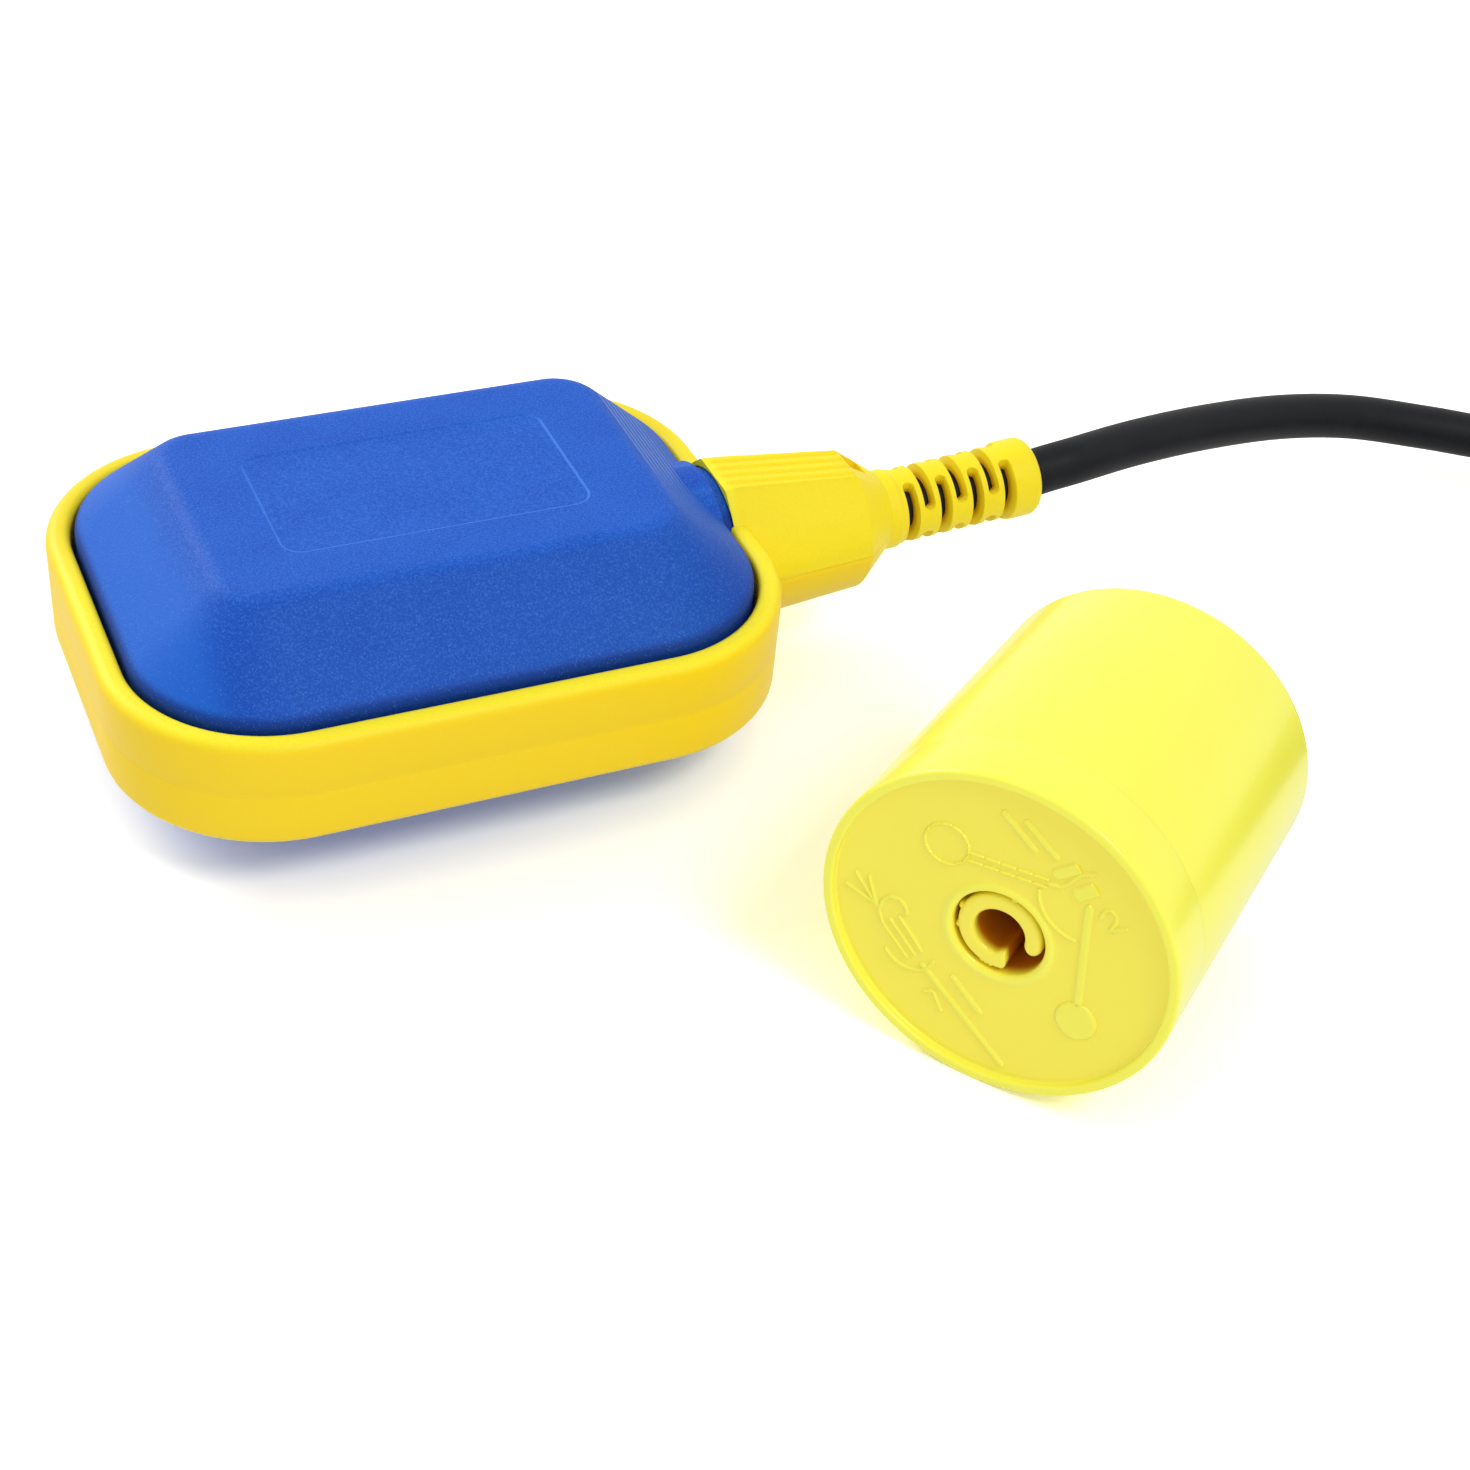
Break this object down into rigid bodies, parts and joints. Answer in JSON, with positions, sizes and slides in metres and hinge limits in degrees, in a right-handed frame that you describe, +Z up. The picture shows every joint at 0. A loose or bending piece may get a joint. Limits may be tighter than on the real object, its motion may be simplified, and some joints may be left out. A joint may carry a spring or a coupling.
{
  "type": "cable float switch",
  "caption": "Float switch for a sump or tank: flat blue and yellow float on a black cable with a slotted bend relief, and a loose cylindrical yellow cable counterweight with a clip.",
  "frame": {"origin": "middle of the float's flat base, which rests on the floor", "axes": "+X along the float towards its cable, +Z up, +Y to the float's far side as seen from the counterweight"},
  "size_m": [0.3721, 0.1809, 0.0521],
  "materials": {
    "blue_shell": "finely textured",
    "yellow_soft": "satin",
    "black_seal": "matt",
    "black_jacket": "satin",
    "steel": "zinc plated",
    "white_case": "moulded",
    "grey_race": "moulded",
    "polished_steel": "polished",
    "red_switch": "moulded",
    "ivory": "moulded",
    "contact_brass": "bright",
    "brown_core": "satin",
    "black_core": "satin",
    "blue_core": "satin",
    "tin": "tinned",
    "white_nylon": "moulded",
    "copper": "bright copper strands",
    "lemon_gloss": "gloss",
    "iron": "as cast"
  },
  "bodies": {
    "float": {"upper_shell": "blue_shell", "lower_shell": "blue_shell", "shell_seal": "black_seal", "band": "yellow_soft", "bend_relief": "yellow_soft", "cable_lead": "black_jacket", "cable_seal": "black_seal", "cable_clamp": "steel", "clamp_screws": "steel", "switch_case": "white_case", "case_lid": "white_case", "case_screws": "steel", "ball_race": "grey_race", "core_seal": "black_seal", "switch_body": "red_switch", "switch_cover": "red_switch", "switch_rivets": "steel", "lever_pin": "steel", "terminals": "contact_brass", "core_brown": "brown_core", "core_black": "black_core", "core_blue": "blue_core", "terminal_crimps": "tin", "cable_run": "black_jacket", "cable_coil": "black_jacket", "cable_ties": "white_nylon", "tail_brown": "brown_core", "tail_black": "black_core", "tail_blue": "blue_core", "tail_copper": "copper"},
    "ball": {"steel_ball": "polished_steel"},
    "lever": {"actuator_lever": "steel"},
    "plunger": {"plunger": "ivory"},
    "blade": {"contact_blade": "contact_brass"},
    "counterweight": {"weight_case": "lemon_gloss", "weight_cap": "lemon_gloss", "weight_ballast": "iron"},
    "clip": {"cable_clip": "lemon_gloss"}
  },
  "joints": [
    {"name": "ball_roll", "type": "slide", "parent": "float", "child": "ball", "axis": [1, 0, 0], "range_m": [0, 0.018]},
    {"name": "lever_turn", "type": "hinge", "parent": "float", "child": "lever", "pos_m": [-0.024, 0, 0.0224], "axis": [0, 1, 0], "range_deg": [0, 5.2]},
    {"name": "plunger_press", "type": "slide", "parent": "float", "child": "plunger", "axis": [0, 0, -1], "range_m": [0, 0.00065]},
    {"name": "blade_swing", "type": "hinge", "parent": "float", "child": "blade", "pos_m": [-0.0224, 0, 0.0166], "axis": [0, 1, 0], "range_deg": [0, 6.7]},
    {"name": "weight_slide", "type": "slide", "parent": "float", "child": "counterweight", "axis": [0, -1, 0], "range_m": [0, 0.08]},
    {"name": "clip_pull", "type": "slide", "parent": "counterweight", "child": "clip", "axis": [-0.8058, -0.5919, 0.0202], "range_m": [0, 0.012]}
  ],
  "couplings": [
    {"joint": "lever_turn", "follows": "ball_roll", "rad_per_m": 5},
    {"joint": "plunger_press", "follows": "ball_roll", "ratio": 0.035},
    {"joint": "blade_swing", "follows": "ball_roll", "rad_per_m": 6.4815}
  ]
}
